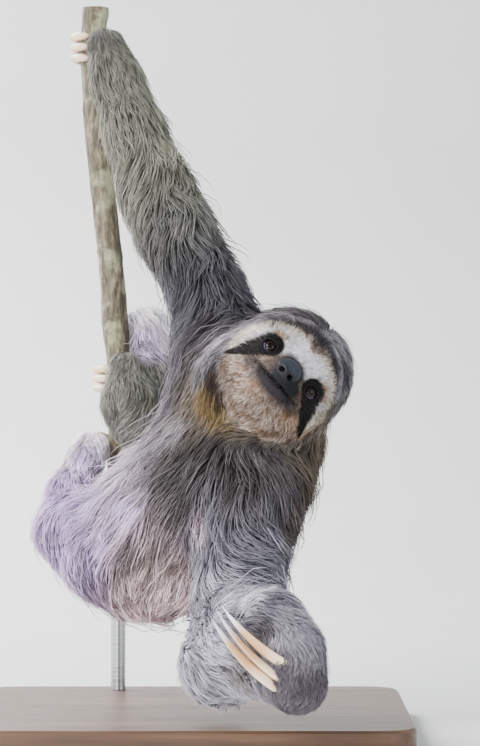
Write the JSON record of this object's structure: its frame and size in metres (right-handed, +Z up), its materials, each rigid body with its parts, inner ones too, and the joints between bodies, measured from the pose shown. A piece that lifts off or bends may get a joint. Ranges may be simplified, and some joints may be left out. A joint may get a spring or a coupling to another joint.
{
  "type": "three-toed sloth on a perch",
  "caption": "Brown-throated three-toed sloth hanging by a hand and both feet from an upright stem, one arm let down, on a flat display base.",
  "frame": {"origin": "centre of the display base's underside", "axes": "+Z up along the stem; the sloth faces -Y and its raised right arm is towards -X"},
  "size_m": [0.34, 0.3731, 0.5801],
  "materials": {
    "coat": "long coarse grey-brown hair, matt",
    "face_fur": "short soft cream and tan fur, matt",
    "nose_leather": "bare dark skin, moist and softly shiny",
    "eye": "wet, high gloss",
    "claw": "smooth horn with faint lengthwise streaks",
    "bark": "rough grey-brown bark with lichen",
    "board": "dark stained wood, satin",
    "steel": "brushed"
  },
  "bodies": {
    "root": {"claw_left_foot_inner": "claw", "claw_left_foot_middle": "claw", "claw_left_foot_outer": "claw", "claw_left_hand_inner": "claw", "claw_left_hand_middle": "claw", "claw_left_hand_outer": "claw", "claw_right_foot_inner": "claw", "claw_right_foot_middle": "claw", "claw_right_foot_outer": "claw", "claw_right_hand_inner": "claw", "claw_right_hand_middle": "claw", "claw_right_hand_outer": "claw", "eye_left": "eye", "eye_right": "eye", "foot_left": "coat", "foot_right": "coat", "forearm_left": "coat", "forearm_right": "coat", "hand_left": "coat", "hand_right": "coat", "head": "coat", "jaw": "face_fur", "muzzle": "face_fur", "neck": "coat", "nose": "nose_leather", "perch_stem": "bark", "shank_left": "coat", "shank_right": "coat", "stand_base": "board", "stand_collar": "steel", "stand_rod": "steel", "tail": "coat", "thigh_left": "coat", "thigh_right": "coat", "trunk": "coat", "upper_arm_left": "coat", "upper_arm_right": "coat"}
  },
  "joints": []
}
